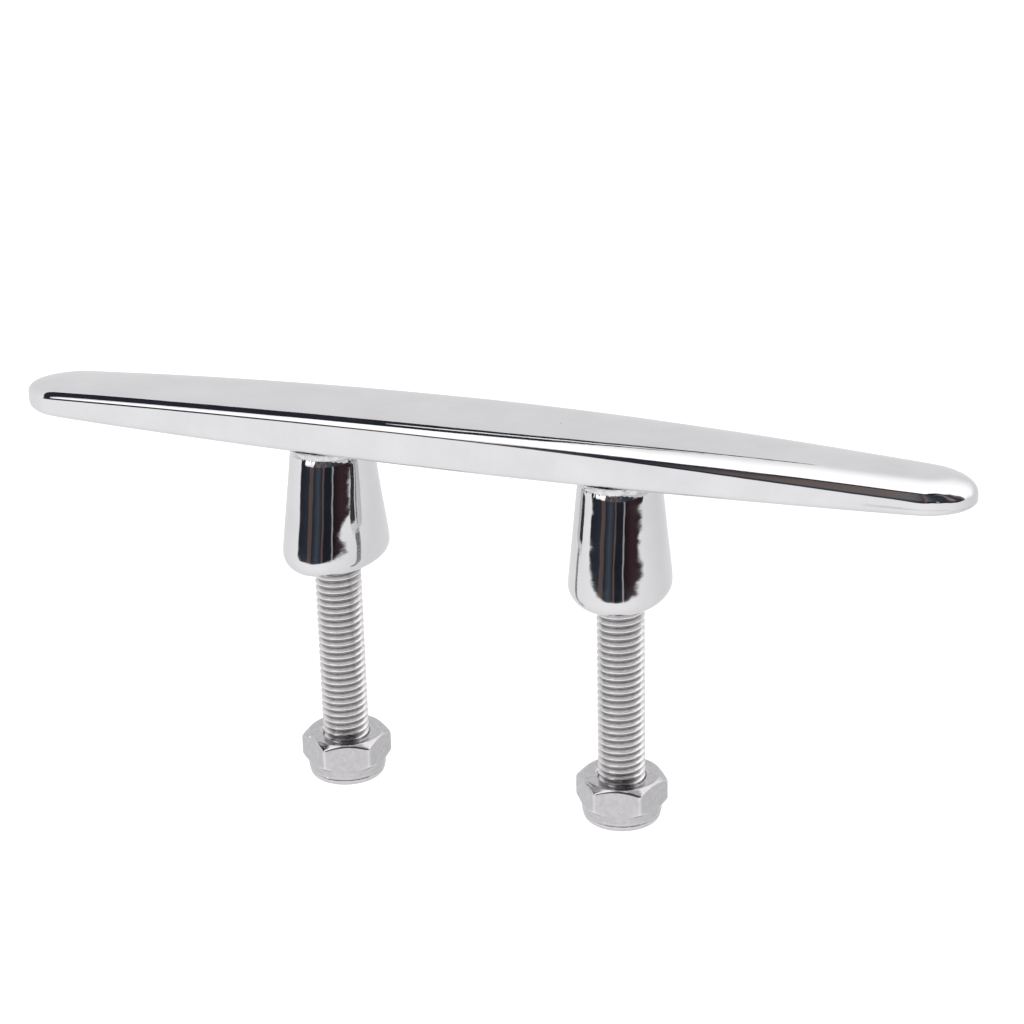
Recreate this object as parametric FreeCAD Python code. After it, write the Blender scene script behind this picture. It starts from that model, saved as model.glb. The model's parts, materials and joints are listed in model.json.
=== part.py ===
import FreeCAD, Part
import os
from math import cos, pi, radians, sin, sqrt, tan

from FreeCAD import Vector

# Flat-top deck cleat on two threaded studs. Millimetres, X along the bar, Z up.
# The origin is midway between the studs, on the plane where the posts meet the deck.

# Driving dimensions
stud_spacing = 63.0
post_height = 26.3

bar_length = 205.0
bar_width_middle = 23.4
bar_width_at_cap = 17.9
bar_cap_length = 10.4
bar_thickness_middle = 9.0
bar_thickness_end = 5.6
bar_crown = 2.5
bar_edge_radius = 1.6

post_base_along = 21.7
post_base_across = 28.8
post_top_along = 16.4
post_top_across = 18.4
post_base_rounding = 3.5

weld_leg = 1.1

thread_pitch = 1.5
thread_nominal_radius = 5.0
stud_crest_radius = 4.925
stud_root_radius = 4.08
stud_neck_radius = 4.95
stud_neck_length = 1.0
stud_length_below = 49.5
stud_end_chamfer = 0.9
stud_in_post_radius = 4.5
stud_in_post_length = 18.0
post_bore_mouth_radius = 5.3

nut_top_z = -40.2
nut_across_flats = 16.8
nut_height = 9.9
nut_collar_radius = 8.07
nut_collar_height = 3.3
nut_collar_rounding = 1.2
nut_shoulder_slope = 40.0
nut_top_chamfer_angle = 32.0
nut_top_ring_radius = 8.05
nut_entry_radius = 5.5
nut_thread_minor_radius = 4.25
nut_thread_flank_play = 0.08
nut_thread_root_radius = 5.05
nut_ring_seat_radius = 7.0
nut_ring_seat_depth = 3.3
nut_lip_thickness = 0.7
nut_lip_opening_radius = 6.3
nut_turn_left = 25.0
nut_turn_right = 12.0

ring_bore_radius = 4.97
ring_play = 0.05

# How far a blank or a cutter runs past the face that it is trimmed to or cuts
overrun = 1.0
bar_blank_overrun = 5.0
post_into_bar = 2.0
weld_into_bar = 0.5
weld_into_post = 0.05
ridge_into_core = 0.06

post_places = {"left": -stud_spacing / 2, "right": stud_spacing / 2}
nut_turns = {"left": nut_turn_left, "right": nut_turn_right}


def solid_of(shape):
    """The one solid that a boolean result holds."""
    if len(shape.Solids) != 1:
        raise ValueError("expected one solid, got %d" % len(shape.Solids))
    return shape.Solids[0]


def arc(start, middle, end):
    return Part.Arc(Vector(*start), Vector(*middle), Vector(*end)).toShape()


def line(start, end):
    return Part.LineSegment(Vector(*start), Vector(*end)).toShape()


def turned(points):
    """A solid of revolution about Z from (radius, height) corners."""
    corners = [Vector(radius, 0, height) for radius, height in points]
    outline = Part.makePolygon(corners + corners[:1])
    return Part.Face(outline).revolve(Vector(0, 0, 0), Vector(0, 0, 1), 360)


# Bar

def bar_plan_outline():
    """Slightly bowed long sides closed by soft round tips, seen from above."""
    cap_x = bar_length / 2 - bar_cap_length
    middle_y = bar_width_middle / 2
    cap_y = bar_width_at_cap / 2
    side_slope = 2 * (cap_y - middle_y) / cap_x
    front = arc((-cap_x, -cap_y, 0), (0, -middle_y, 0), (cap_x, -cap_y, 0))
    back = arc((cap_x, cap_y, 0), (0, middle_y, 0), (-cap_x, cap_y, 0))
    tips = []
    for side in (1, -1):
        points = [Vector(side * (cap_x + bar_cap_length * sin(radians(turn))),
                         -side * cap_y * cos(radians(turn)), 0) for turn in (0, 30, 60, 90, 120, 150, 180)]
        curve = Part.BSplineCurve()
        curve.interpolate(Points=points,
                          InitialTangent=Vector(side, -side_slope * side, 0),
                          FinalTangent=Vector(-side, -side_slope * side, 0))
        tips.append(curve.toShape())
    return Part.Wire([front, tips[0], back, tips[1]])


def bar_side_outline():
    """Crowned top and a nearly straight underside, seen from the front."""
    half = bar_length / 2 + bar_blank_overrun
    reach = (half / (bar_length / 2)) ** 2
    under_rise = bar_thickness_middle - bar_thickness_end - bar_crown
    top_middle = post_height + bar_thickness_middle
    top_end = top_middle - bar_crown * reach
    under_end = post_height + under_rise * reach
    y = -bar_width_middle
    top = arc((-half, y, top_end), (0, y, top_middle), (half, y, top_end))
    right = line((half, y, top_end), (half, y, under_end))
    under = arc((half, y, under_end), (0, y, post_height), (-half, y, under_end))
    left = line((-half, y, under_end), (-half, y, top_end))
    return Part.Wire([top, right, under, left])


def make_bar_blank():
    plan = Part.Face(bar_plan_outline()).extrude(Vector(0, 0, 2 * post_height + bar_thickness_middle))
    side = Part.Face(bar_side_outline()).extrude(Vector(0, 2 * bar_width_middle, 0))
    return solid_of(plan.common(side))


def make_bar():
    blank = make_bar_blank()
    long_edges = [edge for edge in blank.Edges if abs(edge.tangentAt(edge.FirstParameter).z) < 0.5]
    return solid_of(blank.makeFillet(bar_edge_radius, long_edges))


# Posts and their welds

def ellipse_wire(x, along, across, z):
    """A horizontal ellipse given by its full sizes along and across the bar."""
    if across > along:
        long_tip = Vector(x, across / 2, z)
        short_tip = Vector(x - along / 2, 0, z)
    else:
        long_tip = Vector(x + along / 2, 0, z)
        short_tip = Vector(x, across / 2, z)
    curve = Part.Ellipse(long_tip, short_tip, Vector(x, 0, z))
    return Part.Wire(curve.toShape())


def post_size_at(height):
    """Full sizes of the post's section at a height above the deck."""
    share = height / post_height
    along = post_base_along + (post_top_along - post_base_along) * share
    across = post_base_across + (post_top_across - post_base_across) * share
    return along, across


def tapered_oval(x, low, high, extra=0.0):
    """The post's taper between two heights, grown sideways by extra."""
    wires = []
    for height in (low, high):
        along, across = post_size_at(height)
        wires.append(ellipse_wire(x, along + 2 * extra, across + 2 * extra, height))
    return Part.makeLoft(wires, True, True)


def make_post(x, bar):
    oval = tapered_oval(x, 0.0, post_height + post_into_bar)
    base_edges = [edge for edge in oval.Edges if edge.BoundBox.ZMax < post_base_rounding / 2]
    body = solid_of(oval.makeFillet(post_base_rounding, base_edges))
    body = body.cut(bar)
    if len(body.Solids) > 1:
        body = max(body.Solids, key=lambda piece: piece.Volume)
    mouth_depth = post_bore_mouth_radius - stud_in_post_radius
    bore = turned([(0, -overrun), (post_bore_mouth_radius + overrun, -overrun),
                   (stud_in_post_radius, mouth_depth), (stud_in_post_radius, stud_in_post_length),
                   (0, stud_in_post_length)])
    bore.translate(Vector(x, 0, 0))
    return solid_of(body.cut(bore))


def make_weld(x, bar):
    """A low fillet of weld metal round the top of the post, against the bar's underside."""
    low = post_height - weld_leg
    wires = []
    for height, extra in ((low, weld_into_post), (post_height + weld_into_bar, weld_leg)):
        along, across = post_size_at(height)
        wires.append(ellipse_wire(x, along + 2 * extra, across + 2 * extra, height))
    bead = Part.makeLoft(wires, True, True)
    bead = bead.cut(tapered_oval(x, 0.0, 2 * post_height))
    return solid_of(bead.cut(bar))


# Threads

def thread_half_width(radius):
    """Half the axial width of a 60 degree ridge at a radius."""
    return thread_pitch / 16 + (thread_nominal_radius - radius) * tan(radians(30))


def helical_ridge(low_turn, high_turn, inner, outer, play=0.0):
    """A right-hand ridge swept turn by turn, whose middle crosses the XZ half-plane at whole pitches."""
    inner_half = thread_half_width(inner) + play
    outer_half = thread_half_width(outer) + play
    corners = [Vector(inner, 0, -inner_half), Vector(outer, 0, -outer_half),
               Vector(outer, 0, outer_half), Vector(inner, 0, inner_half)]
    outline = Part.makePolygon(corners + corners[:1])
    turns = []
    for turn in range(high_turn - low_turn):
        helix = Part.makeHelix(thread_pitch, thread_pitch, outer)
        helix.translate(Vector(0, 0, thread_pitch * turn))
        turns += helix.Edges
    sweep = Part.BRepOffsetAPI.MakePipeShell(Part.Wire(turns))
    sweep.setFrenetMode(True)
    sweep.add(outline)
    sweep.build()
    sweep.makeSolid()
    ridge = sweep.shape()
    ridge.translate(Vector(0, 0, thread_pitch * low_turn))
    return ridge


def make_stud(x):
    """A fully threaded M10 stud with a short plain neck against the post."""
    low_turn = -int(stud_length_below / thread_pitch) - 2
    ridge = helical_ridge(low_turn, 0, stud_root_radius - ridge_into_core, stud_crest_radius)
    core_low = thread_pitch * low_turn - 2 * thread_pitch
    core = Part.makeCylinder(stud_root_radius, overrun - core_low, Vector(0, 0, core_low))
    screw = core.fuse(ridge)
    outer = stud_crest_radius + overrun
    tip = stud_crest_radius - stud_end_chamfer
    envelope = turned([(0, -stud_length_below), (tip, -stud_length_below),
                       (outer, -stud_length_below + outer - tip), (outer, -stud_neck_length / 2),
                       (0, -stud_neck_length / 2)])
    screw = solid_of(screw.common(envelope))
    neck = Part.makeCylinder(stud_neck_radius, stud_neck_length, Vector(0, 0, -stud_neck_length))
    shank = Part.makeCylinder(stud_in_post_radius, stud_in_post_length)
    stud = solid_of(screw.fuse([neck, shank]).removeSplitter())
    stud.translate(Vector(x, 0, 0))
    return stud


# Lock nuts

def hexagon(turn, low, high):
    corner_radius = nut_across_flats / sqrt(3)
    corners = [Vector(corner_radius * cos(radians(turn + 60 * i)),
                      corner_radius * sin(radians(turn + 60 * i)), low) for i in range(6)]
    return Part.Face(Part.makePolygon(corners + corners[:1])).extrude(Vector(0, 0, high - low))


def nut_envelope():
    """Top chamfer, sloped shoulder below the corners, then the round crimped collar."""
    bottom = nut_top_z - nut_height
    corner = nut_across_flats / sqrt(3) + overrun
    chamfer_drop = (corner - nut_top_ring_radius) * tan(radians(nut_top_chamfer_angle))
    collar_top = bottom + nut_collar_height
    shoulder_rise = (corner - nut_collar_radius) * tan(radians(nut_shoulder_slope))
    foot = nut_collar_radius - nut_collar_rounding
    lean = nut_collar_rounding * (1 - cos(pi / 4))
    round_middle = (nut_collar_radius - lean, 0, bottom + lean)
    corners = [(0, nut_top_z), (nut_top_ring_radius, nut_top_z), (corner, nut_top_z - chamfer_drop),
               (corner, collar_top + shoulder_rise), (nut_collar_radius, collar_top),
               (nut_collar_radius, bottom + nut_collar_rounding)]
    edges = [line((a[0], 0, a[1]), (b[0], 0, b[1])) for a, b in zip(corners, corners[1:])]
    edges.append(arc((nut_collar_radius, 0, bottom + nut_collar_rounding), round_middle, (foot, 0, bottom)))
    edges.append(line((foot, 0, bottom), (0, 0, bottom)))
    edges.append(line((0, 0, bottom), (0, 0, nut_top_z)))
    return Part.Face(Part.Wire(edges)).revolve(Vector(0, 0, 0), Vector(0, 0, 1), 360)


def nut_hollow():
    """Countersunk entry, thread core, seat for the nylon ring and the crimped lip's opening."""
    bottom = nut_top_z - nut_height
    seat_top = bottom + nut_ring_seat_depth
    seat_floor = bottom + nut_lip_thickness
    entry = nut_entry_radius + overrun
    entry_depth = entry - nut_thread_minor_radius
    return turned([(0, nut_top_z + overrun), (entry, nut_top_z + overrun),
                   (nut_thread_minor_radius, nut_top_z + overrun - entry_depth),
                   (nut_thread_minor_radius, seat_top), (nut_ring_seat_radius, seat_top),
                   (nut_ring_seat_radius, seat_floor), (nut_lip_opening_radius, seat_floor),
                   (nut_lip_opening_radius, bottom - overrun), (0, bottom - overrun)])


def make_nut(x, turn):
    bottom = nut_top_z - nut_height
    body = hexagon(turn, bottom - overrun, nut_top_z + overrun).common(nut_envelope())
    body = body.cut(nut_hollow())
    low_turn = int(bottom / thread_pitch)
    high_turn = int(nut_top_z / thread_pitch) + 2
    groove = helical_ridge(low_turn, high_turn, nut_thread_minor_radius - ridge_into_core,
                           nut_thread_root_radius, nut_thread_flank_play)
    seat_top = bottom + nut_ring_seat_depth
    thread_stretch = Part.makeCylinder(nut_thread_root_radius + overrun, nut_top_z + overrun - seat_top,
                                       Vector(0, 0, seat_top))
    body = solid_of(body.cut(groove.common(thread_stretch)))
    body.translate(Vector(x, 0, 0))
    return body


def make_nylon_ring(x):
    bottom = nut_top_z - nut_height
    low = bottom + nut_lip_thickness + ring_play
    high = bottom + nut_ring_seat_depth - ring_play
    outer = nut_ring_seat_radius - ring_play
    ring = turned([(ring_bore_radius, low), (outer, low), (outer, high), (ring_bore_radius, high)])
    ring.translate(Vector(x, 0, 0))
    return ring


def main():
    os.makedirs("parts", exist_ok=True)
    bar = make_bar()
    pieces = {"horn_bar": bar}
    for side, x in post_places.items():
        post = make_post(x, bar)
        pieces["post_" + side] = post
        pieces["weld_" + side] = make_weld(x, bar)
        pieces["stud_" + side] = make_stud(x)
        pieces["nut_" + side] = make_nut(x, nut_turns[side])
        pieces["nylon_ring_" + side] = make_nylon_ring(x)
    for name, shape in pieces.items():
        if not shape.isValid():
            raise ValueError(name + " isn't a valid solid")
        shape.exportStep("parts/" + name + ".step")
        print(name, round(shape.Volume, 1), "mm3")


main()
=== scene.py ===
import bmesh
import bpy
import json
import math
from mathutils import Matrix, Vector
from mathutils.kdtree import KDTree

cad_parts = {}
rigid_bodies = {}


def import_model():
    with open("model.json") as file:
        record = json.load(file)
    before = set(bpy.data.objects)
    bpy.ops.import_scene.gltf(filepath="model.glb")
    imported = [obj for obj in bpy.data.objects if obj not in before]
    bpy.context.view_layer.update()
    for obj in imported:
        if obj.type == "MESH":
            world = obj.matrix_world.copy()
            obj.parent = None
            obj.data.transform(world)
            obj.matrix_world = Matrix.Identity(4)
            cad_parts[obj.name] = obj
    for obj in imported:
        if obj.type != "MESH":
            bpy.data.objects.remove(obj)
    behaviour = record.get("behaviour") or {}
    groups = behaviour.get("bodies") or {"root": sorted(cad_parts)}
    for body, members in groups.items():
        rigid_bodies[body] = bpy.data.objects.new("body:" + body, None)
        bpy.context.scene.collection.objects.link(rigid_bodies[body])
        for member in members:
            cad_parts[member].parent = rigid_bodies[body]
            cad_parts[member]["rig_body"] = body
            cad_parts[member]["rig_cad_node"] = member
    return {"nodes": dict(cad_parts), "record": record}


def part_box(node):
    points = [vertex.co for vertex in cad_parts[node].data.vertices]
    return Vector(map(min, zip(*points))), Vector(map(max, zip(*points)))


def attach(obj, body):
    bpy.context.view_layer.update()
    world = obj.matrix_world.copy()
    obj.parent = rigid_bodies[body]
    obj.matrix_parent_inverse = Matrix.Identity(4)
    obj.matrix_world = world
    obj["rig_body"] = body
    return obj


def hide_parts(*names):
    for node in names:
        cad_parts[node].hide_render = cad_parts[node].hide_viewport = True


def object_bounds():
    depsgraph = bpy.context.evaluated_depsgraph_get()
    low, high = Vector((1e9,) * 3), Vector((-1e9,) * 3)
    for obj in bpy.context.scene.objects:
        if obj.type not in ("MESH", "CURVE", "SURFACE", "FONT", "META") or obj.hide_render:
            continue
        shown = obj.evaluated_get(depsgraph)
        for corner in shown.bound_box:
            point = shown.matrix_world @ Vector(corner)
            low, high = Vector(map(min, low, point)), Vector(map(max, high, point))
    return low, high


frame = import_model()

cadLow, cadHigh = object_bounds()
nodes = frame["nodes"]
scene = bpy.context.scene
scene.view_settings.view_transform = "Standard"
print("frame loaded")


def linearFromHex(hexValue, alpha=1.0):
    channels = [int(hexValue[i:i + 2], 16) / 255 for i in (1, 3, 5)]
    linear = [c / 12.92 if c <= 0.04045 else ((c + 0.055) / 1.055) ** 2.4 for c in channels]
    return (*linear, alpha)


def addNode(tree, kind, settings=None, values=None, links=None):
    node = tree.nodes.new(kind)
    for name, value in (settings or {}).items():
        setattr(node, name, value)
    for socket, value in (values or {}).items():
        node.inputs[socket].default_value = value
    for socket, source in (links or {}).items():
        tree.links.new(source, node.inputs[socket])
    return node


def newMaterial(name):
    material = bpy.data.materials.new(name)
    material.use_nodes = True
    tree = material.node_tree
    tree.nodes.clear()
    output = addNode(tree, "ShaderNodeOutputMaterial")
    shader = addNode(tree, "ShaderNodeBsdfPrincipled")
    tree.links.new(shader.outputs["BSDF"], output.inputs["Surface"])
    return material, tree, shader


def setStops(ramp, stops):
    elements = ramp.color_ramp.elements
    while len(elements) < len(stops):
        elements.new(0.5)
    for element, (place, colour) in zip(elements, stops):
        element.position = place
        element.color = linearFromHex(colour)


def plugIn(tree, shader, colour, roughness, normal):
    for socket, source in (("Base Color", colour), ("Roughness", roughness), ("Normal", normal)):
        tree.links.new(source, shader.inputs[socket])


def perMetre(millimetres):
    return 1000 / millimetres


# 316 stainless polished on a mop: a near mirror with faint clouds, drag lines along it and a few open pores
polish = {
    "cloudSize": 16, "clouds": [(0.34, "#D9D9DB"), (0.66, "#E1E1E2")],
    "hazeSize": 7, "hazeRange": (0.35, 0.7), "roughness": (0.03, 0.085),
    "dragLength": 14, "dragWidth": 0.45, "dragDepth": 0.0000022, "peelSize": 3.2, "peelDepth": 0.000007,
    "poreSpacing": 9, "poreWidth": 0.026, "poreShare": 0.24, "poreColour": "#4A4846", "poreDepth": 0.00008,
}


def polishedStainless():
    material, tree, shader = newMaterial("mop polished 316 stainless")
    shader.inputs["Metallic"].default_value = 1.0
    place = addNode(tree, "ShaderNodeTexCoord").outputs["Object"]
    clouds = addNode(tree, "ShaderNodeTexNoise", values={
        "Scale": perMetre(polish["cloudSize"]), "Detail": 4.0, "Roughness": 0.6}, links={"Vector": place})
    tone = addNode(tree, "ShaderNodeValToRGB", links={"Fac": clouds.outputs["Fac"]})
    setStops(tone, polish["clouds"])
    haze = addNode(tree, "ShaderNodeTexNoise", values={
        "Scale": perMetre(polish["hazeSize"]), "Detail": 5.0, "Roughness": 0.65}, links={"Vector": place})
    gloss = addNode(tree, "ShaderNodeMapRange", values={
        "From Min": polish["hazeRange"][0], "From Max": polish["hazeRange"][1],
        "To Min": polish["roughness"][0], "To Max": polish["roughness"][1]},
        links={"Value": haze.outputs["Fac"]})
    thin = perMetre(polish["dragWidth"])
    along = addNode(tree, "ShaderNodeMapping", values={"Scale": (perMetre(polish["dragLength"]), thin, thin)},
                    links={"Vector": place})
    drag = addNode(tree, "ShaderNodeTexNoise", values={"Scale": 1.0, "Detail": 3.0},
                   links={"Vector": along.outputs[0]})
    peel = addNode(tree, "ShaderNodeTexNoise", values={
        "Scale": perMetre(polish["peelSize"]), "Detail": 1.0}, links={"Vector": place})
    pores = addNode(tree, "ShaderNodeTexVoronoi", values={
        "Scale": perMetre(polish["poreSpacing"])}, links={"Vector": place})
    chance = addNode(tree, "ShaderNodeSeparateColor", links={"Color": pores.outputs["Color"]})
    chosen = addNode(tree, "ShaderNodeMath", {"operation": "LESS_THAN"}, {1: polish["poreShare"]},
                     {0: chance.outputs["Red"]})
    near = addNode(tree, "ShaderNodeMapRange", values={
        "From Min": polish["poreWidth"] * 0.6, "From Max": polish["poreWidth"], "To Min": 1.0, "To Max": 0.0},
        links={"Value": pores.outputs["Distance"]})
    pore = addNode(tree, "ShaderNodeMath", {"operation": "MULTIPLY"},
                   links={0: chosen.outputs[0], 1: near.outputs[0]})
    colour = addNode(tree, "ShaderNodeMix", {"data_type": "RGBA"},
                     links={0: pore.outputs[0], 6: tone.outputs["Color"]})
    colour.inputs[7].default_value = linearFromHex(polish["poreColour"])
    skin = addNode(tree, "ShaderNodeBump", values={"Strength": 1.0, "Distance": polish["peelDepth"]},
                   links={"Height": peel.outputs["Fac"]})
    lines = addNode(tree, "ShaderNodeBump", values={"Strength": 1.0, "Distance": polish["dragDepth"]},
                    links={"Height": drag.outputs["Fac"], "Normal": skin.outputs[0]})
    pitted = addNode(tree, "ShaderNodeBump", {"invert": True},
                     {"Strength": 1.0, "Distance": polish["poreDepth"]},
                     {"Height": pore.outputs[0], "Normal": lines.outputs[0]})
    plugIn(tree, shader, colour.outputs[2], gloss.outputs[0], pitted.outputs[0])
    return material


# Stainless weld metal, ground and then polished over: bright, but grainy with small pits and dull spots
weldSkin = {
    "blotchSize": 1.6, "blotches": [(0.36, "#CBCACC"), (0.58, "#E2E2E3")],
    "glossRange": (0.4, 0.65), "roughness": (0.04, 0.16),
    "grainSize": 0.7, "grainDepth": 0.00003, "pitSpacing": 1.3, "pitWidth": (0.05, 0.25), "pitDepth": 0.00006,
}


def weldStainless():
    material, tree, shader = newMaterial("dressed stainless weld")
    shader.inputs["Metallic"].default_value = 1.0
    place = addNode(tree, "ShaderNodeTexCoord").outputs["Object"]
    blotch = addNode(tree, "ShaderNodeTexNoise", values={
        "Scale": perMetre(weldSkin["blotchSize"]), "Detail": 4.0}, links={"Vector": place})
    tone = addNode(tree, "ShaderNodeValToRGB", links={"Fac": blotch.outputs["Fac"]})
    setStops(tone, weldSkin["blotches"])
    gloss = addNode(tree, "ShaderNodeMapRange", values={
        "From Min": weldSkin["glossRange"][0], "From Max": weldSkin["glossRange"][1],
        "To Min": weldSkin["roughness"][1], "To Max": weldSkin["roughness"][0]},
        links={"Value": blotch.outputs["Fac"]})
    grain = addNode(tree, "ShaderNodeTexNoise", values={
        "Scale": perMetre(weldSkin["grainSize"]), "Detail": 3.0}, links={"Vector": place})
    pits = addNode(tree, "ShaderNodeTexVoronoi", values={
        "Scale": perMetre(weldSkin["pitSpacing"])}, links={"Vector": place})
    hollow = addNode(tree, "ShaderNodeMapRange", values={
        "From Min": weldSkin["pitWidth"][0], "From Max": weldSkin["pitWidth"][1]},
        links={"Value": pits.outputs["Distance"]})
    rough = addNode(tree, "ShaderNodeBump", values={"Strength": 0.5, "Distance": weldSkin["grainDepth"]},
                    links={"Height": grain.outputs["Fac"]})
    pitted = addNode(tree, "ShaderNodeBump", values={"Strength": 0.6, "Distance": weldSkin["pitDepth"]},
                     links={"Height": hollow.outputs[0], "Normal": rough.outputs[0]})
    plugIn(tree, shader, tone.outputs["Color"], gloss.outputs[0], pitted.outputs[0])
    return material


# 316 thread, cold rolled: crests burnished bright; roots duller and painted darker, partly as shade in the
#                          thread's hollows and partly for rolling oil and dust
thread = {
    "axisOffset": 0.0315, "root": 0.00408, "crest": 0.00490,
    "rootShadeAndOil": [(0.0, "#A09F9F"), (0.4, "#C9C8C8"), (0.95, "#E6E5E5")], "unevenness": 0.7,
    "roughness": (0.26, 0.11), "streakLength": 1.6, "streakHeight": 0.16, "streakDepth": 0.00004,
    "nickSize": 0.9, "nickDepth": 0.00007, "edgeRound": 0.00013,
}


def studStainless():
    material, tree, shader = newMaterial("cold rolled 316 thread")
    shader.inputs["Metallic"].default_value = 1.0
    place = addNode(tree, "ShaderNodeTexCoord").outputs["Object"]
    parts = addNode(tree, "ShaderNodeSeparateXYZ", links={"Vector": place})
    side = addNode(tree, "ShaderNodeMath", {"operation": "ABSOLUTE"}, links={0: parts.outputs["X"]})
    across = addNode(tree, "ShaderNodeMath", {"operation": "SUBTRACT"}, {1: thread["axisOffset"]},
                     {0: side.outputs[0]})
    flat = addNode(tree, "ShaderNodeCombineXYZ", links={"X": across.outputs[0], "Y": parts.outputs["Y"]})
    radius = addNode(tree, "ShaderNodeVectorMath", {"operation": "LENGTH"}, links={0: flat.outputs[0]})
    # Painted shade: colour darkens from crest to root, standing for shade in the hollows together with oil and
    # dust
    rootShadeAndOil = addNode(tree, "ShaderNodeMapRange", values={
        "From Min": thread["root"], "From Max": thread["crest"]}, links={"Value": radius.outputs["Value"]})
    squeezed = addNode(tree, "ShaderNodeMapping", values={
        "Scale": (perMetre(thread["streakLength"]), perMetre(thread["streakLength"]),
                  perMetre(thread["streakHeight"]))}, links={"Vector": place})
    streaks = addNode(tree, "ShaderNodeTexNoise", values={"Scale": 1.0, "Detail": 4.0, "Roughness": 0.6},
                      links={"Vector": squeezed.outputs[0]})
    nicks = addNode(tree, "ShaderNodeTexNoise", values={
        "Scale": perMetre(thread["nickSize"]), "Detail": 5.0, "Roughness": 0.7}, links={"Vector": place})
    uneven = addNode(tree, "ShaderNodeMath", {"operation": "MULTIPLY_ADD"},
                     {1: thread["unevenness"], 2: -thread["unevenness"] / 2}, {0: nicks.outputs["Fac"]})
    level = addNode(tree, "ShaderNodeMath", {"operation": "ADD", "use_clamp": True},
                    links={0: rootShadeAndOil.outputs[0], 1: uneven.outputs[0]})
    tone = addNode(tree, "ShaderNodeValToRGB", links={"Fac": level.outputs[0]})
    setStops(tone, thread["rootShadeAndOil"])
    gloss = addNode(tree, "ShaderNodeMapRange", values={
        "To Min": thread["roughness"][0], "To Max": thread["roughness"][1]}, links={"Value": level.outputs[0]})
    rounded = addNode(tree, "ShaderNodeBevel", {"samples": 6}, {"Radius": thread["edgeRound"]})
    lines = addNode(tree, "ShaderNodeBump", values={"Strength": 0.8, "Distance": thread["streakDepth"]},
                    links={"Height": streaks.outputs["Fac"], "Normal": rounded.outputs[0]})
    nicked = addNode(tree, "ShaderNodeBump", values={"Strength": 0.8, "Distance": thread["nickDepth"]},
                     links={"Height": nicks.outputs["Fac"], "Normal": lines.outputs[0]})
    plugIn(tree, shader, tone.outputs["Color"], gloss.outputs[0], nicked.outputs[0])
    return material


# Hot forged A4 stainless, tumbled bright: fine tooling grain, small dings, edges rubbed and painted lighter as
# a highlight along them
forged = {
    "blotchSize": 1.1, "blotches": [(0.32, "#BAB9BB"), (0.62, "#C8C7C9")],
    "edgeHighlightRange": (0.51, 0.56), "edgeHighlightColour": "#F0EFEF", "glossRange": (0.35, 0.68), "roughness": (0.08, 0.16),
    "grainSize": 0.30, "grainDepth": 0.000006, "dingSize": 1.5, "dingDepth": 0.000008,
    "scratchLength": 5.0, "scratchWidth": 0.25, "scratchDepth": 0.000006, "scratchTurn": (0.5, 0.3, 0.9),
}


def nutStainless():
    material, tree, shader = newMaterial("tumbled A4 stainless nut")
    shader.inputs["Metallic"].default_value = 1.0
    place = addNode(tree, "ShaderNodeTexCoord").outputs["Object"]
    blotch = addNode(tree, "ShaderNodeTexNoise", values={
        "Scale": perMetre(forged["blotchSize"]), "Detail": 6.0, "Roughness": 0.7}, links={"Vector": place})
    tone = addNode(tree, "ShaderNodeValToRGB", links={"Fac": blotch.outputs["Fac"]})
    setStops(tone, forged["blotches"])
    # Painted highlight: convex edges found by pointiness are coloured near white
    edges = addNode(tree, "ShaderNodeMapRange", values={
        "From Min": forged["edgeHighlightRange"][0], "From Max": forged["edgeHighlightRange"][1]},
        links={"Value": addNode(tree, "ShaderNodeNewGeometry").outputs["Pointiness"]})
    colour = addNode(tree, "ShaderNodeMix", {"data_type": "RGBA"},
                     links={0: edges.outputs[0], 6: tone.outputs["Color"]})
    colour.inputs[7].default_value = linearFromHex(forged["edgeHighlightColour"])
    gloss = addNode(tree, "ShaderNodeMapRange", values={
        "From Min": forged["glossRange"][0], "From Max": forged["glossRange"][1],
        "To Min": forged["roughness"][1], "To Max": forged["roughness"][0]},
        links={"Value": blotch.outputs["Fac"]})
    grain = addNode(tree, "ShaderNodeTexNoise", values={
        "Scale": perMetre(forged["grainSize"]), "Detail": 3.0}, links={"Vector": place})
    dings = addNode(tree, "ShaderNodeTexNoise", values={
        "Scale": perMetre(forged["dingSize"]), "Detail": 2.0}, links={"Vector": place})
    turned = addNode(tree, "ShaderNodeMapping", values={
        "Rotation": forged["scratchTurn"],
        "Scale": (perMetre(forged["scratchLength"]), perMetre(forged["scratchWidth"]),
                  perMetre(forged["scratchWidth"]))}, links={"Vector": place})
    scratches = addNode(tree, "ShaderNodeTexNoise", values={"Scale": 1.0, "Detail": 2.0},
                        links={"Vector": turned.outputs[0]})
    normal = None
    for pattern, depth in ((dings, "dingDepth"), (grain, "grainDepth"), (scratches, "scratchDepth")):
        links = {"Height": pattern.outputs["Fac"]}
        if normal:
            links["Normal"] = normal.outputs[0]
        normal = addNode(tree, "ShaderNodeBump", values={"Strength": 1.0, "Distance": forged[depth]},
                         links=links)
    plugIn(tree, shader, colour.outputs[2], gloss.outputs[0], normal.outputs[0])
    return material


# Injection moulded nylon 6.6, unpigmented: milky, half matt, a touch yellower where it is thick
moulded = {
    "cloudSize": 2.2, "clouds": [(0.0, "#DCDDD8"), (1.0, "#EBEDEE")], "roughness": (0.36, 0.52),
    "grainSize": 0.3, "grainDepth": 0.00002, "refraction": 1.53,
}


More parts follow.
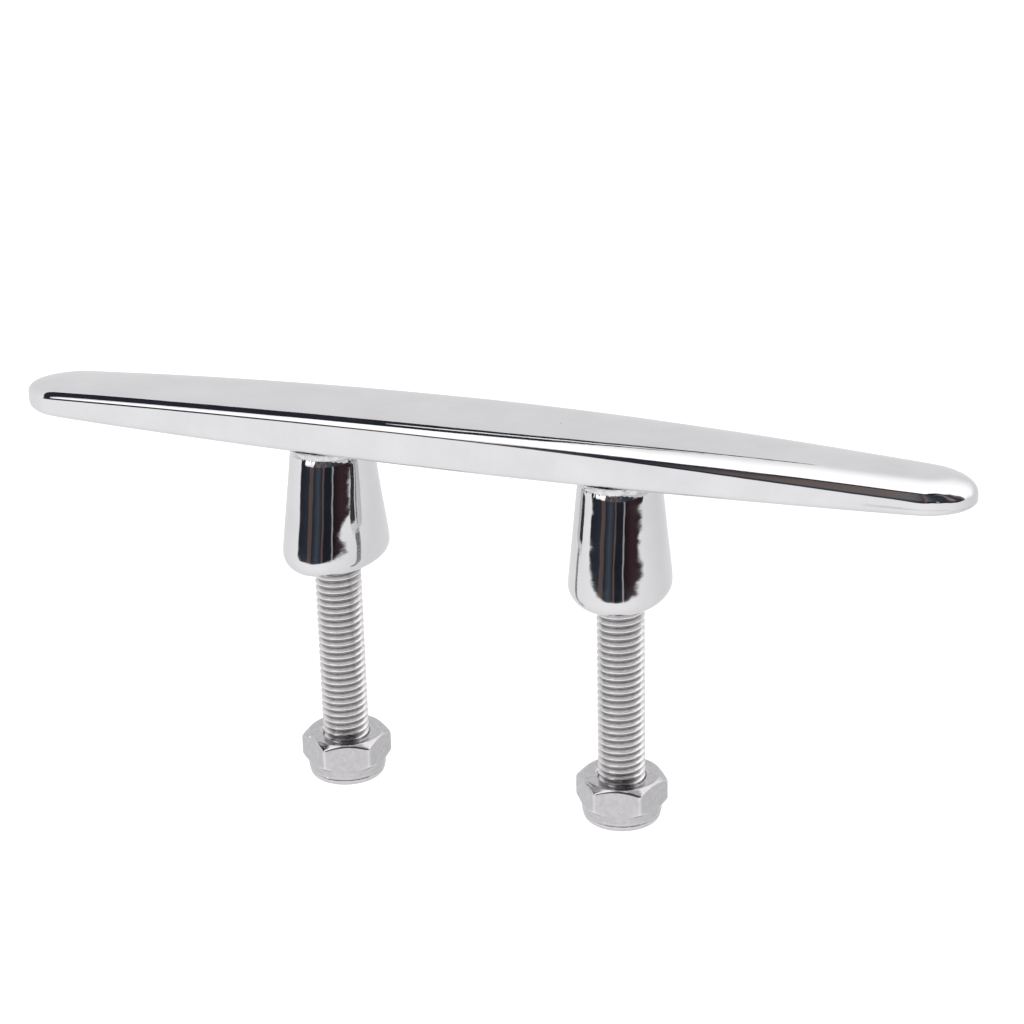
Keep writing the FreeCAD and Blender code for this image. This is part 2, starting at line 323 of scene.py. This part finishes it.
def nylon():
    material, tree, shader = newMaterial("moulded natural nylon")
    shader.inputs["IOR"].default_value = moulded["refraction"]
    place = addNode(tree, "ShaderNodeTexCoord").outputs["Object"]
    clouds = addNode(tree, "ShaderNodeTexNoise", values={
        "Scale": perMetre(moulded["cloudSize"]), "Detail": 3.0}, links={"Vector": place})
    tone = addNode(tree, "ShaderNodeValToRGB", links={"Fac": clouds.outputs["Fac"]})
    setStops(tone, moulded["clouds"])
    gloss = addNode(tree, "ShaderNodeMapRange", values={
        "To Min": moulded["roughness"][0], "To Max": moulded["roughness"][1]},
        links={"Value": clouds.outputs["Fac"]})
    grain = addNode(tree, "ShaderNodeTexNoise", values={
        "Scale": perMetre(moulded["grainSize"]), "Detail": 2.0}, links={"Vector": place})
    skin = addNode(tree, "ShaderNodeBump", values={"Strength": 0.6, "Distance": moulded["grainDepth"]},
                   links={"Height": grain.outputs["Fac"]})
    plugIn(tree, shader, tone.outputs["Color"], gloss.outputs[0], skin.outputs[0])
    return material


finishes = {
    "polished_stainless": polishedStainless(),
    "weld_stainless": weldStainless(),
    "stud_stainless": studStainless(),
    "nut_stainless": nutStainless(),
    "nylon": nylon(),
}
slotOfNode = {part["node"]: part["material_slot"] for part in frame["record"]["subparts"]}
for name, node in nodes.items():
    node.data.materials.clear()
    node.data.materials.append(finishes[slotOfNode[name]])
print("finishes assigned")


# Small helpers for work on a mesh; two places closer than a hair count as one
hair = 1e-6


def startPiece(name):
    if bpy.context.object and bpy.context.object.mode != "OBJECT":
        bpy.ops.object.mode_set(mode="OBJECT")
    bpy.ops.object.select_all(action="DESELECT")
    print("making", name)


def pick(kind, test):
    bpy.ops.mesh.select_all(action="DESELECT")
    bpy.ops.mesh.select_mode(type={"verts": "VERT", "edges": "EDGE", "faces": "FACE"}[kind])
    mesh = bmesh.from_edit_mesh(bpy.context.object.data)
    for item in getattr(mesh, kind):
        item.select_set(bool(test(item)))
    mesh.select_flush_mode()
    bmesh.update_edit_mesh(bpy.context.object.data)
    return sum(item.select for item in getattr(mesh, kind))


def faceMiddle(face):
    return face.calc_center_median()


def applyAll(piece):
    for modifier in list(piece.modifiers):
        bpy.ops.object.modifier_apply(modifier=modifier.name)


def addWaves(piece, name, size, height):
    texture = bpy.data.textures.new(name, "CLOUDS")
    texture.noise_scale = size
    texture.noise_depth = 1
    waves = piece.modifiers.new(name, "DISPLACE")
    waves.texture = texture
    waves.texture_coords = "LOCAL"
    waves.strength = height
    waves.mid_level = 0.5


def finishPiece(piece, name, nodeNames, body, slotName):
    piece.name = name
    piece.data.name = name
    bpy.ops.object.transform_apply(location=True, rotation=True, scale=True)
    piece.data.materials.clear()
    piece.data.materials.append(finishes[slotName])
    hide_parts(*nodeNames)
    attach(piece, body)


# Horn bar, cast flat-top horn: bowed plan, crowned top, soft hand-ground edges
bar = {
    "tipPoints": 34, "tipRadius": 0.00829, "tipLength": 0.0104, "sideCuts": 20, "bow": 1.411,
    "crown": 0.0025, "underRise": 0.0009,
    "topEdge": [(0.00011, 0.00055), (0.00033, 0.00048), (0.00050, 0.00035), (0.00064, 0.00022),
                (0.00110, 0.00020), (0.00190, 0.00013), (0.00240, 0.00006)],
    "underEdge": [(0.00010, 0.00052), (0.00032, 0.00044), (0.00046, 0.00032), (0.00056, 0.00018),
                  (0.00100, 0.00006)],
    "wallTilt": 0.04, "tipSoftFrom": 0.0, "tipSoftTo": 0.092, "tipSoftReach": 0.0032, "tipSoftness": 0.75,
    "tipRippleFrom": 0.088, "tipRippleTilt": (0.12, 0.92), "tipRippleSize": 0.0021, "tipRippleHeight": 0.00011,
    "waveSize": 0.016, "waveHeight": 0.00006, "fineWaveSize": 0.0045, "fineWaveHeight": 0.000006,
}


# The top edge grows rounder towards the right tip: points near it move inwards and down
def rounderTip(piece, top, reach):
    vertices = piece.data.vertices
    outline = [v.co.copy() for v in vertices if abs(v.normal.z) < bar["wallTilt"]]
    tree = KDTree(len(outline))
    for index, point in enumerate(outline):
        tree.insert((point.x, point.y, 0), index)
    tree.balance()
    scale = bar["tipSoftReach"]
    for vertex in vertices:
        share = (vertex.co.x - bar["tipSoftFrom"]) / (bar["tipSoftTo"] - bar["tipSoftFrom"])
        share = min(max(share, 0), 1)
        if share == 0 or vertex.co.z < top - bar["crown"] - scale * 1.2:
            continue
        edgePoint, _, inset = tree.find((vertex.co.x, vertex.co.y, 0))
        inward = Vector((vertex.co.x, vertex.co.y, 0)) - edgePoint
        drop = max(top - bar["crown"] * (vertex.co.x / reach) ** 2 - vertex.co.z, 0)
        growth = bar["tipSoftness"] * share * share * (3 - 2 * share)
        fade = math.exp(-((inset + drop) / scale) ** 2)
        vertex.co += inward * growth * fade
        vertex.co.z -= drop * growth * fade


def makeHornBar():
    low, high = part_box("horn_bar")
    reach = high.x
    wallTop = high.z - bar["crown"] - sum(drop for _, drop in bar["topEdge"])
    wallLow = low.z + bar["underRise"] + sum(drop for _, drop in bar["underEdge"])
    startPiece("horn bar")
    bpy.ops.mesh.primitive_circle_add(vertices=bar["tipPoints"], radius=bar["tipRadius"], fill_type="NOTHING")
    piece = bpy.context.object
    bpy.ops.object.mode_set(mode="EDIT")
    stretch = bar["tipLength"] / bar["tipRadius"]
    for side in (1, -1):  # the two tips move apart, and their sides are cut and bowed
        pick("verts", lambda v: v.co.x * side > hair)
        bpy.ops.transform.resize(value=(stretch, 1, 1), center_override=(0, 0, 0))
        bpy.ops.transform.translate(value=(side * (reach - bar["tipLength"]), 0, 0))
    pick("edges", lambda e: e.calc_length() > reach / 2)
    bpy.ops.mesh.subdivide(number_cuts=bar["sideCuts"])
    pick("verts", lambda v: abs(v.co.x) < hair)
    bpy.ops.transform.resize(value=(1, bar["bow"], 1), center_override=(0, 0, 0), use_proportional_edit=True,
                             proportional_edit_falloff="INVERSE_SQUARE", proportional_size=reach * 1.015)
    bpy.ops.mesh.select_all(action="SELECT")
    bpy.ops.transform.translate(value=(0, 0, wallLow))
    bpy.ops.mesh.edge_face_add()
    bpy.ops.mesh.extrude_region_move(TRANSFORM_OT_translate={"value": (0, 0, wallTop - wallLow)})
    if not pick("faces", lambda f: faceMiddle(f).z < wallLow + hair):
        pick("edges", lambda e: e.is_boundary)
        bpy.ops.mesh.edge_face_add()
    bpy.ops.mesh.select_all(action="SELECT")
    bpy.ops.mesh.normals_make_consistent(inside=False)
    pick("faces", lambda f: faceMiddle(f).z > wallTop - hair)
    for inset, drop in bar["topEdge"]:
        bpy.ops.mesh.inset(thickness=inset, depth=drop)
    pick("faces", lambda f: faceMiddle(f).z < wallLow + hair)
    for inset, drop in bar["underEdge"]:
        bpy.ops.mesh.inset(thickness=inset, depth=drop)
    middle = (wallTop + wallLow) / 2
    for sign, bow in ((1, bar["crown"]), (-1, -bar["underRise"])):  # crown and belly, one half at a time
        pick("verts", lambda v: (v.co.z - middle) * sign < 0)
        bpy.ops.mesh.hide(unselected=False)
        pick("verts", lambda v: abs(v.co.x) < hair and not v.hide)
        bpy.ops.transform.translate(value=(0, 0, bow), use_proportional_edit=True,
                                    proportional_edit_falloff="INVERSE_SQUARE", proportional_size=reach)
        bpy.ops.mesh.reveal(select=False)
    for sign in (1, -1):  # the long flat faces become strips across the bar
        pick("faces", lambda f: f.normal.z * sign > 0.9 and len(f.verts) > 8)
        bpy.ops.mesh.delete(type="ONLY_FACE")
        pick("edges", lambda e: e.is_boundary and abs(e.verts[0].co.y + e.verts[1].co.y) > 10 * hair)
        bpy.ops.mesh.bridge_edge_loops()
    bpy.ops.mesh.select_all(action="SELECT")
    bpy.ops.mesh.normals_make_consistent(inside=False)
    bpy.ops.object.mode_set(mode="OBJECT")
    soft = piece.modifiers.new("soft edges", "SUBSURF")
    soft.levels = 2
    soft.render_levels = 2
    addWaves(piece, "hand grinding", bar["waveSize"], bar["waveHeight"])
    addWaves(piece, "polishing ripple", bar["fineWaveSize"], bar["fineWaveHeight"])
    applyAll(piece)
    rounderTip(piece, high.z, reach)
    ripple = piece.vertex_groups.new(name="tip ripple")
    steepest, flattest = bar["tipRippleTilt"]
    for vertex in piece.data.vertices:
        share = (vertex.co.x - bar["tipRippleFrom"]) / (reach - bar["tipRippleFrom"])
        if share > 0 and steepest < vertex.normal.z < flattest:
            ripple.add([vertex.index], min(share * 2, 1), "REPLACE")
    addWaves(piece, "tip ripple", bar["tipRippleSize"], bar["tipRippleHeight"])
    piece.modifiers[-1].vertex_group = ripple.name
    applyAll(piece)
    bpy.ops.object.shade_smooth()
    finishPiece(piece, "hornBar", ["horn_bar"], "cleat", "polished_stainless")


makeHornBar()

# Posts, oval stems cast and ground by hand, so their sides are a little uneven
post = {
    "points": 48, "baseHalf": (0.01085, 0.0144), "topHalf": (0.0082, 0.0092), "height": 0.0263,
    "rounding": 0.0035, "roundingSteps": 5, "bodyLoops": 6, "intoBar": 0.0004,
    "boreRadius": 0.0053, "boreDepth": 0.0012,
    "turn": {"left": 2.0, "right": -9.0},
    "waveSize": 0.013, "waveHeight": 0.00024, "fineWaveSize": 0.0022, "fineWaveHeight": 0.000022,
}


def postHalf(height):
    share = height / post["height"]
    return [base + (top - base) * share for base, top in zip(post["baseHalf"], post["topHalf"])]


def growLoop(size, target, height, middle):
    bpy.ops.mesh.extrude_region_move()
    bpy.ops.transform.resize(value=(target[0] / size[0], target[1] / size[1], 1),
                             center_override=(middle, 0, height[0]))
    bpy.ops.transform.translate(value=(0, 0, height[1] - height[0]))


def growLoops(middle, first, loops):
    bpy.ops.mesh.primitive_circle_add(vertices=post["points"], radius=1, fill_type="NOTHING",
                                      location=(middle, 0, first[1]))
    bpy.ops.object.mode_set(mode="EDIT")
    bpy.ops.mesh.select_mode(type="VERT")
    bpy.ops.mesh.select_all(action="SELECT")
    bpy.ops.transform.resize(value=(*first[0], 1), center_override=(middle, 0, first[1]))
    size, height = first
    for target, level in loops:
        growLoop(size, target, (height, level), middle)
        size, height = target, level
    return bpy.context.object


def makePost(side):
    low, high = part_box("post_" + side)
    middle = (low.x + high.x) / 2
    startPiece("post " + side)
    bore = post["boreRadius"]
    loops = [((bore, bore), 0.0)]
    for step in range(post["roundingSteps"] + 1):
        turn = math.radians(90) * step / post["roundingSteps"]
        height = post["rounding"] * (1 - math.cos(turn))
        inset = post["rounding"] * (1 - math.sin(turn))
        loops.append(([half - inset for half in postHalf(height)], height))
    top = post["height"] + post["intoBar"]
    for step in range(1, post["bodyLoops"] + 1):
        height = post["rounding"] + (top - post["rounding"]) * step / post["bodyLoops"]
        loops.append((postHalf(height), height))
    piece = growLoops(middle, ((bore, bore), post["boreDepth"]), loops)
    for end in (top, post["boreDepth"]):
        pick("edges", lambda e: e.is_boundary and abs(e.verts[0].co.z + piece.location.z - end) < 10 * hair)
        bpy.ops.mesh.edge_face_add()
    bpy.ops.mesh.select_all(action="SELECT")
    bpy.ops.mesh.normals_make_consistent(inside=False)
    bpy.ops.transform.rotate(value=math.radians(post["turn"][side]), orient_axis="Z",
                             center_override=(middle, 0, 0))
    bpy.ops.object.mode_set(mode="OBJECT")
    bpy.ops.object.transform_apply(location=True, rotation=True, scale=True)
    soft = piece.modifiers.new("soft skin", "SUBSURF")
    soft.levels = 3
    soft.render_levels = 3
    addWaves(piece, "hand grinding " + side, post["waveSize"], post["waveHeight"])
    addWaves(piece, "polishing ripple " + side, post["fineWaveSize"], post["fineWaveHeight"])
    applyAll(piece)
    bpy.ops.object.shade_smooth()
    finishPiece(piece, "post" + side.title(), ["post_" + side], "cleat", "polished_stainless")


# Welds, a hollow fillet of weld metal dressed smooth, with a patch left rippled
weld = {
    "leg": 0.0019, "steps": 6, "seat": 0.00012, "inside": 0.0009,
    "rippleSize": 0.0013, "rippleHeight": 0.00085, "rippleLeast": 0.12, "rippleSpread": 55,
    "rippleTurn": {"left": 215, "right": -35},
}


def makeWeld(side):
    low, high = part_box("weld_" + side)
    middle = (low.x + high.x) / 2
    startPiece("weld " + side)
    top, leg = high.z, weld["leg"]
    wall = postHalf(top - leg)
    loops = []
    for step in range(weld["steps"] + 1):
        turn = math.radians(90) * step / weld["steps"]
        height = top - leg + leg * math.sin(turn)
        loops.append(([half + leg * (1 - math.cos(turn)) for half in postHalf(height)], height))
    loops.append(([half + leg for half in postHalf(top)], top + weld["seat"]))
    loops.append(([half - weld["inside"] for half in postHalf(top)], top + weld["seat"]))
    start = ([half - weld["inside"] for half in wall], top - leg - weld["seat"])
    piece = growLoops(middle, start, loops)
    pick("edges", lambda e: e.is_boundary)
    bpy.ops.mesh.bridge_edge_loops()
    bpy.ops.mesh.select_all(action="SELECT")
    bpy.ops.mesh.normals_make_consistent(inside=False)
    bpy.ops.object.mode_set(mode="OBJECT")
    bpy.ops.object.transform_apply(location=True, rotation=True, scale=True)
    soft = piece.modifiers.new("soft skin", "SUBSURF")
    soft.levels = 2
    soft.render_levels = 2
    bpy.ops.object.modifier_apply(modifier=soft.name)
    patch = piece.vertex_groups.new(name="rippled")
    for vertex in piece.data.vertices:
        turn = math.degrees(math.atan2(vertex.co.y, vertex.co.x - middle))
        away = abs((turn - weld["rippleTurn"][side] + 180) % 360 - 180) / weld["rippleSpread"]
        patch.add([vertex.index], max(weld["rippleLeast"], 1 - away * away), "REPLACE")
    addWaves(piece, "weld ripple " + side, weld["rippleSize"], weld["rippleHeight"])
    piece.modifiers[-1].vertex_group = patch.name
    applyAll(piece)
    bpy.ops.object.shade_smooth()
    finishPiece(piece, "weld" + side.title(), ["weld_" + side], "cleat", "weld_stainless")


# Lock nuts, hot forged and tumbled, so every outer edge is round and the crimped collar is full
nut = {
    "points": 192, "halfFlat": 0.0084, "edgeSharpness": 62, "skin": 0.0072, "skinMargin": 0.0005,
    "smoothAngle": 40, "footHeight": 0.0005, "footFrom": 0.0066, "chamferBlend": 0.0002,
    "topFace": [(0.00556, 0), (0.0064, 0), (0.0072, 0), (0.0078, 0), (0.00797, 0.00001), (0.00806, 0.00004)],
    "chamferFrom": (0.00812, 0.00008), "chamferTo": (0.00990, 0.00122), "chamferSteps": 16,
    "sideTo": (0.0104, 0.00500), "sideSteps": 8, "shoulderFrom": (0.0099, 0.00510),
    "collar": [(0.0094, 0.00545), (0.0090, 0.00575), (0.0087, 0.00603), (0.00848, 0.00630),
               (0.00839, 0.00660), (0.00836, 0.0070), (0.00833, 0.00745), (0.00829, 0.00776),
               (0.00821, 0.00798), (0.00810, 0.00811), (0.00802, 0.00820), (0.00802, 0.00830),
               (0.00808, 0.00842), (0.00809, 0.00862), (0.00800, 0.00894), (0.00783, 0.00929),
               (0.00756, 0.00957), (0.00722, 0.00977), (0.00688, 0.00988), (0.0064, 0.0099)],
}


def stepsBetween(start, end, count):
    return [tuple(a + (b - a) * step / count for a, b in zip(start, end)) for step in range(count + 1)]


# Distance from the axis to a hexagon whose corners melt into the round profile
def roundedHexRadius(angle, corner, reach):
    power = nut["edgeSharpness"]
    flats = [corner + math.radians(30 + 60 * turn) for turn in range(6)]
    pull = sum(max(math.cos(angle - flat), 0) ** power for flat in flats) / nut["halfFlat"] ** power
    return (pull + reach ** -power) ** (-1 / power)


def makeNutSkin(middle, top, corner):
    profile = nut["topFace"] + stepsBetween(nut["chamferFrom"], nut["chamferTo"], nut["chamferSteps"])
    sideFrom = (nut["sideTo"][0], nut["chamferTo"][1] + nut["chamferBlend"])
    profile += stepsBetween(sideFrom, nut["sideTo"], nut["sideSteps"])
    profile += [nut["shoulderFrom"]] + nut["collar"]
    reach, drop = profile[0]
    bpy.ops.mesh.primitive_circle_add(vertices=nut["points"], radius=reach, fill_type="NOTHING",
                                      location=(middle, 0, top - drop))
    bpy.ops.object.mode_set(mode="EDIT")
    bpy.ops.mesh.select_mode(type="VERT")
    bpy.ops.mesh.select_all(action="SELECT")
    for nextReach, nextDrop in profile[1:]:
        growLoop((reach, reach), (nextReach, nextReach), (top - drop, top - nextDrop), middle)
        reach, drop = nextReach, nextDrop
    bpy.ops.object.mode_set(mode="OBJECT")
    bpy.ops.object.transform_apply(location=True, rotation=True, scale=True)
    skin = bpy.context.object
    for vertex in skin.data.vertices:
        across, deep = vertex.co.x - middle, vertex.co.y
        reach = math.hypot(across, deep)
        if reach > nut["skin"] + nut["skinMargin"]:
            share = roundedHexRadius(math.atan2(deep, across), corner, reach) / reach
            vertex.co.x, vertex.co.y = middle + across * share, deep * share
    return skin


def makeNut(side):
    low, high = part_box("nut_" + side)
    middle = (low.x + high.x) / 2
    startPiece("nut " + side)
    piece = nodes["nut_" + side].copy()
    piece.data = piece.data.copy()
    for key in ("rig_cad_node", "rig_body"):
        del piece[key]
    piece.parent = None
    scene.collection.objects.link(piece)
    piece.select_set(True)
    bpy.context.view_layer.objects.active = piece
    far = max((v.co for v in piece.data.vertices), key=lambda c: math.hypot(c.x - middle, c.y))
    corner = math.atan2(far.y, far.x - middle)
    bpy.ops.object.mode_set(mode="EDIT")
    bpy.ops.mesh.select_all(action="SELECT")
    bpy.ops.mesh.remove_doubles(threshold=2 * hair)

    def isSkin(face):
        place = faceMiddle(face)
        reach = math.hypot(place.x - middle, place.y)
        ends = min(abs(place.z - low.z), abs(place.z - high.z))
        foot = place.z < low.z + nut["footHeight"] and reach > nut["footFrom"]
        return ends < 10 * hair or foot or reach > nut["skin"]

    pick("faces", isSkin)
    bpy.ops.mesh.delete(type="FACE")
    bpy.ops.object.mode_set(mode="OBJECT")
    skin = makeNutSkin(middle, high.z, corner)
    piece.select_set(True)
    skin.select_set(True)
    bpy.context.view_layer.objects.active = piece
    bpy.ops.object.join()
    bpy.ops.object.mode_set(mode="EDIT")
    for level in (low.z, high.z):
        pick("edges", lambda e: e.is_boundary and abs(e.verts[0].co.z - level) < 20 * hair)
        bpy.ops.mesh.bridge_edge_loops()
    bpy.ops.mesh.select_all(action="SELECT")
    bpy.ops.mesh.normals_make_consistent(inside=False)
    bpy.ops.object.mode_set(mode="OBJECT")
    bpy.ops.object.shade_smooth_by_angle(angle=math.radians(nut["smoothAngle"]))
    finishPiece(piece, "lockNut" + side.title(), ["nut_" + side], "nut_body_" + side, "nut_stainless")


for side in ("left", "right"):
    makePost(side)
    makeWeld(side)
    makeNut(side)


# Camera, a long lens a little above the bar and to its right
cameraView = {
    "azimuth": 22.063, "elevation": 21.091, "roll": 1.353, "aimRight": 0.007437, "aimUp": 0.012983,
    "distance": 0.508346, "nearest": 0.01, "lens": 86.834, "sensor": 36.0,
}


def placeCamera(view):
    azimuth, elevation, roll = (math.radians(view[k]) for k in ("azimuth", "elevation", "roll"))
    forward = Vector((-math.sin(azimuth) * math.cos(elevation), math.cos(azimuth) * math.cos(elevation),
                      -math.sin(elevation)))
    right = Vector((math.cos(azimuth), math.sin(azimuth), 0))
    up = right.cross(forward)
    rolledRight = right * math.cos(roll) - up * math.sin(roll)
    rolledUp = right * math.sin(roll) + up * math.cos(roll)
    aim = rolledRight * view["aimRight"] + rolledUp * view["aimUp"]
    camera = bpy.data.objects.new("productCamera", bpy.data.cameras.new("productCamera"))
    scene.collection.objects.link(camera)
    camera.data.lens = view["lens"]
    camera.data.sensor_width = view["sensor"]
    axes = Matrix((rolledRight, rolledUp, -forward)).transposed()
    camera.matrix_world = Matrix.Translation(aim - forward * view["distance"]) @ axes.to_4x4()
    camera.data.clip_start = view["nearest"]
    scene.camera = camera


placeCamera(cameraView)

# Light tent: grey back wall, bright slanting ceiling, white paper floor, and a dark room behind the camera
tent = {
    "cloth": "#FFFEFF", "wallLevel": 0.85, "frontLevel": 1.06, "frontToBack": (-0.9, 0.7),
    "ceilingLevel": 1.42, "wallTop": 0.30, "ceilingFrom": 0.84, "slant": 0.4,
    "frameRadius": 0.14, "cardDistance": 1.3, "cardEdge": "#17181D",
    "floorDrop": 0.025, "floorSize": 8.0, "floorColour": "#FFFFFF", "floorRoughness": 0.9, "floorShine": 0.2,
}


def directionOf(azimuth, elevation, distance=1.0):
    a, e = math.radians(azimuth), math.radians(elevation)
    return Vector((math.sin(a) * math.cos(e), -math.cos(a) * math.cos(e), math.sin(e))) * distance


def makeWorld():
    world = bpy.data.worlds.new("light tent")
    world.use_nodes = True
    scene.world = world
    tree = world.node_tree
    background = tree.nodes["Background"]
    direction = addNode(tree, "ShaderNodeTexCoord").outputs["Generated"]
    parts = addNode(tree, "ShaderNodeSeparateXYZ", links={"Vector": direction})
    height = addNode(tree, "ShaderNodeMath", {"operation": "MULTIPLY_ADD"}, {1: tent["slant"]},
                     {0: parts.outputs["X"], 2: parts.outputs["Z"]}).outputs[0]
    ceiling = addNode(tree, "ShaderNodeMapRange", {"interpolation_type": "SMOOTHSTEP"},
                      {"From Min": tent["wallTop"], "From Max": tent["ceilingFrom"],
                       "To Min": 0.0, "To Max": tent["ceilingLevel"] - tent["wallLevel"]}, {"Value": height})
    walls = addNode(tree, "ShaderNodeMapRange", values={
        "From Min": tent["frontToBack"][0], "From Max": tent["frontToBack"][1],
        "To Min": tent["frontLevel"], "To Max": tent["wallLevel"]}, links={"Value": parts.outputs["Y"]})
    level = addNode(tree, "ShaderNodeMath", {"operation": "ADD"},
                    links={0: walls.outputs[0], 1: ceiling.outputs[0]})
    tree.links.new(level.outputs[0], background.inputs["Strength"])
    background.inputs["Color"].default_value = linearFromHex(tent["cloth"])


def makeFloor():
    bpy.ops.object.select_all(action="DESELECT")
    bpy.ops.mesh.primitive_plane_add(size=tent["floorSize"], location=(0, 0, cadLow.z - tent["floorDrop"]))
    floor = bpy.context.active_object
    floor.name = "floor"
    material, tree, shader = newMaterial("white paper sweep")
    shader.inputs["Base Color"].default_value = linearFromHex(tent["floorColour"])
    shader.inputs["Roughness"].default_value = tent["floorRoughness"]
    shader.inputs["Specular IOR Level"].default_value = tent["floorShine"]
    floor.data.materials.append(material)
    floor.visible_glossy = False


# Glowing cloth for a card: colour stops run along it, all edges fade out, and past rim it darkens
def cardFinish(name, stops, level, fade, rim=2.0):
    material = bpy.data.materials.new(name)
    material.use_nodes = True
    tree = material.node_tree
    tree.nodes.clear()
    uv = addNode(tree, "ShaderNodeTexCoord").outputs["UV"]
    parts = addNode(tree, "ShaderNodeSeparateXYZ", links={"Vector": uv})
    ramp = addNode(tree, "ShaderNodeValToRGB", links={"Fac": parts.outputs["X"]})
    setStops(ramp, stops)
    masks = []
    for axis, edge in zip("XY", fade):
        centred = addNode(tree, "ShaderNodeMath", {"operation": "SUBTRACT"}, {1: 0.5}, {0: parts.outputs[axis]})
        distance = addNode(tree, "ShaderNodeMath", {"operation": "ABSOLUTE"}, links={0: centred.outputs[0]})
        masks.append(addNode(tree, "ShaderNodeMapRange", {"interpolation_type": "SMOOTHSTEP"},
                             {"From Min": 0.5 - edge, "From Max": 0.5, "To Min": 1.0, "To Max": 0.0},
                             {"Value": distance.outputs[0]}).outputs["Result"])
    cover = addNode(tree, "ShaderNodeMath", {"operation": "MULTIPLY"}, links={0: masks[0], 1: masks[1]})
    rimShare = addNode(tree, "ShaderNodeMapRange", values={"From Min": rim - 0.03, "From Max": rim + 0.001},
                       links={"Value": parts.outputs["Y"]})
    tinted = addNode(tree, "ShaderNodeMix", {"data_type": "RGBA"},
                     links={0: rimShare.outputs[0], 6: ramp.outputs[0]})
    tinted.inputs[7].default_value = linearFromHex(tent["cardEdge"])
    glow = addNode(tree, "ShaderNodeEmission", values={"Strength": level}, links={"Color": tinted.outputs[2]})
    clear = addNode(tree, "ShaderNodeBsdfTransparent")
    mix = addNode(tree, "ShaderNodeMixShader",
                  links={0: cover.outputs[0], 1: clear.outputs[0], 2: glow.outputs[0]})
    addNode(tree, "ShaderNodeOutputMaterial", links={"Surface": mix.outputs[0]})
    return material


def onlyMirrored(item):
    item.visible_camera = False
    item.visible_diffuse = False
    item.visible_shadow = False


def makeCard(name, azimuths, elevations, distance, finish):
    bpy.ops.object.select_all(action="DESELECT")
    bpy.ops.mesh.primitive_grid_add(x_subdivisions=32, y_subdivisions=24, size=1.0, calc_uvs=True)
    card = bpy.context.active_object
    card.name = name
    for vertex in card.data.vertices:
        acrossShare, upShare = vertex.co.x + 0.5, vertex.co.y + 0.5
        azimuth = azimuths[0] + (azimuths[1] - azimuths[0]) * acrossShare
        elevation = elevations[0] + (elevations[1] - elevations[0]) * upShare
        vertex.co = directionOf(azimuth, elevation, distance)
    card.data.materials.append(finish)
    onlyMirrored(card)


# What the two dark cards show from end to end: an unlit room with grey frames and warm brown wood
roomStops = [(0.0, "#3A3C46"), (0.06, "#2E303A"), (0.12, "#6E625F"), (0.2, "#77706F"), (0.27, "#4A4A52"),
             (0.33, "#7B6B68"), (0.42, "#4E5058"), (0.55, "#3C3E48"), (0.7, "#34363F"), (0.8, "#8D8C90"),
             (0.86, "#2D2F38"), (0.93, "#6A5C60"), (1.0, "#9A9899")]
shelfStops = [(0.0, "#23262F"), (0.2, "#2E333D"), (0.215, "#2E333D"), (0.228, "#625350"), (0.295, "#5C4E4C"),
              (0.308, "#262A33"), (0.4, "#454C56"), (0.475, "#2A2E38"), (0.485, "#6E5A52"), (0.507, "#5A4A45"),
              (0.515, "#20232B"), (0.64, "#22252D"), (0.652, "#A6A6AA"), (0.664, "#A6A6AA"), (0.674, "#1E1A1D"),
              (0.8, "#3B2A2E"), (1.0, "#2A2226")]
makeWorld()
makeFloor()
farCard, middleCard, nearCard = (tent["cardDistance"] - gap for gap in (0, 0.02, 0.04))
makeCard("dark room", (-20, 94), (-5, 79), farCard,
         cardFinish("unlit studio", roomStops, level=1.0, fade=(0.015, 0.04), rim=0.90))
makeCard("dark shelf", (-62, 94), (-7, 9), middleCard,
         cardFinish("unlit shelf", shelfStops, level=1.0, fade=(0.03, 0.12)))
makeCard("soft box", (-48, -21), (12, 74), nearCard,
         cardFinish("soft box cloth", [(0.0, "#FFFFFF"), (1.0, "#FFFFFF")], level=1.6, fade=(0.1, 0.08)))

# Dark edge of the tent overhead, each point with its azimuth, elevation and width
frameDirections = [(-170, 30, 0.12), (-163, 33, 0.40), (-152, 39, 1.0), (-140, 47, 1.5),
                   (-122, 54, 1.9), (-100, 55, 1.9), (-80, 50, 1.8), (-70, 42, 1.6), (-62, 32, 1.2),
                   (-56, 20, 0.9), (-52, 8, 0.9), (-50, -4, 0.9)]

# White seam along the upper part of that edge
seamDirections = [(-171, 31.5, 0.05), (-163, 35.2, 0.10), (-153, 41.5, 0.15), (-145, 47, 0.15),
                  (-137, 51.5, 0.06)]


def makeTentLine(name, directions, distance, colour, level):
    line = bpy.data.curves.new(name, "CURVE")
    line.dimensions = "3D"
    spline = line.splines.new("NURBS")
    spline.points.add(len(directions) - 1)
    for point, (azimuth, elevation, width) in zip(spline.points, directions):
        point.co = (*directionOf(azimuth, elevation, distance), 1)
        point.radius = width
    spline.order_u = 4
    spline.use_endpoint_u = True
    line.bevel_depth = tent["frameRadius"]
    tube = bpy.data.objects.new(name, line)
    scene.collection.objects.link(tube)
    line.materials.append(cardFinish(name, [(0.0, colour), (1.0, colour)], level, (0.001, 0.001)))
    onlyMirrored(tube)


makeTentLine("tent frame", frameDirections, tent["cardDistance"], "#2A2C34", 1.0)
makeTentLine("tent seam", seamDirections, tent["cardDistance"] - 0.2, "#FFFFFF", 1.3)
print("light tent ready")
